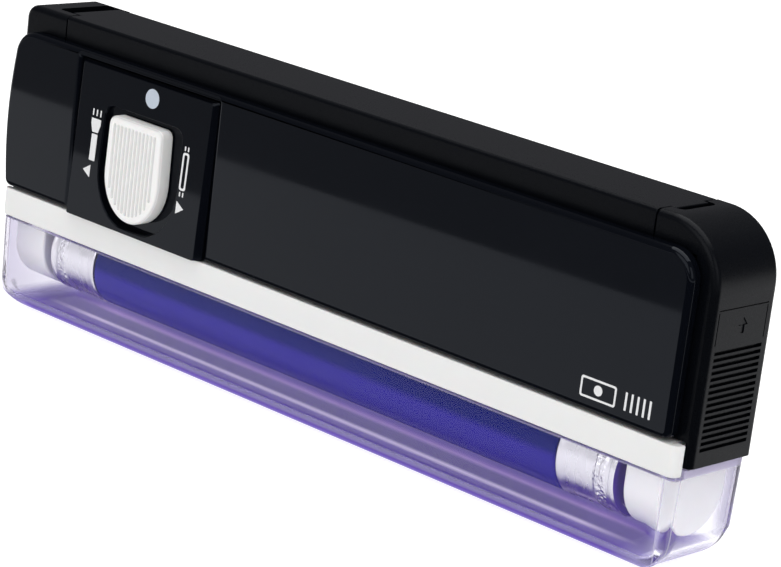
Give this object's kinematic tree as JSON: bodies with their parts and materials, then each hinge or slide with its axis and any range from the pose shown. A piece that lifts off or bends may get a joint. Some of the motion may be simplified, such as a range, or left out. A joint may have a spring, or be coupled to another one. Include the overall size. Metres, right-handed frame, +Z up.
{
  "type": "counterfeit bill detector",
  "caption": "Hand-held battery counterfeit bill detector: an ultraviolet tube in a clear cover along its lower edge, an end torch, a slide switch and a sliding battery door.",
  "frame": {"origin": "middle of the bounding box at its lowest face, where the lamp cover stands", "axes": "+X along the body from the torch end to the battery door end, +Y from the front panel to the back, +Z up from the lamp cover to the top"},
  "size_m": [0.1636, 0.0208, 0.056],
  "materials": {
    "gloss_black": "polished black ABS",
    "satin_black": "fine satin black ABS",
    "white_plastic": "satin white ABS",
    "clear_plastic": "clear polystyrene",
    "violet_glass": "deep violet filter glass",
    "bright_metal": "bright plated",
    "brass": "bright",
    "board_green": "solder-masked board",
    "dark_part": "moulded dark grey",
    "copper": "enamelled copper wire",
    "amber_part": "dipped lacquer",
    "cell_jacket": "printed metal-foil jacket",
    "red_wire": "soft PVC insulation"
  },
  "bodies": {
    "housing": {"front_housing": "gloss_black", "switch_plate": "gloss_black", "switch_body": "bright_metal", "rear_shell": "satin_black", "torch_bulb": "clear_plastic", "torch_bulb_holder": "dark_part", "lamp_tray": "white_plastic", "lamp_reflector": "bright_metal", "lamp_holder_left": "white_plastic", "lamp_holder_right": "white_plastic", "circuit_board": "board_green", "transformer_core": "dark_part", "transformer_winding": "copper", "switching_transistor": "dark_part", "electrolytic_capacitor": "cell_jacket", "film_capacitor": "amber_part", "resistor": "amber_part", "battery_cradle": "dark_part", "battery_cell_1": "cell_jacket", "battery_cell_2": "cell_jacket", "battery_cell_3": "cell_jacket", "battery_cell_4": "cell_jacket", "cradle_contact_spring": "bright_metal", "cradle_contact_leaf": "bright_metal", "lamp_lead_left": "red_wire", "lamp_lead_right": "red_wire", "housing_screw_upper": "bright_metal", "housing_screw_lower": "bright_metal"},
    "slider": {"switch_knob": "white_plastic", "knob_slider_plate": "dark_part", "switch_actuator": "dark_part"},
    "door": {"battery_door": "satin_black", "door_contact_plate": "bright_metal", "door_contact_spring": "bright_metal"},
    "torch": {"torch_cap": "satin_black", "torch_lens": "clear_plastic", "torch_reflector": "bright_metal"},
    "cover": {"lens_cover": "clear_plastic"},
    "lamp": {"uv_tube": "violet_glass", "tube_cap_left": "bright_metal", "tube_cap_right": "bright_metal", "tube_pin_left_front": "brass", "tube_pin_left_back": "brass", "tube_pin_right_front": "brass", "tube_pin_right_back": "brass"}
  },
  "joints": [
    {"name": "switch_slide", "type": "slide", "parent": "housing", "child": "slider", "axis": [1, 0, 0], "range_m": [-0.0022, 0.0022]},
    {"name": "battery_door_slide", "type": "slide", "parent": "housing", "child": "door", "axis": [0, 0, 1], "range_m": [0, 0.04]},
    {"name": "torch_cap_slide", "type": "slide", "parent": "housing", "child": "torch", "axis": [-1, 0, 0], "range_m": [0, 0.013]},
    {"name": "lamp_cover_slide", "type": "slide", "parent": "cover", "child": "housing", "axis": [0, 0, 1], "range_m": [0, 0.02]},
    {"name": "lamp_twist", "type": "hinge", "parent": "housing", "child": "lamp", "pos_m": [0.0008, 0.0012, 0.01235], "axis": [1, 0, 0], "range_deg": [0, 90]}
  ]
}
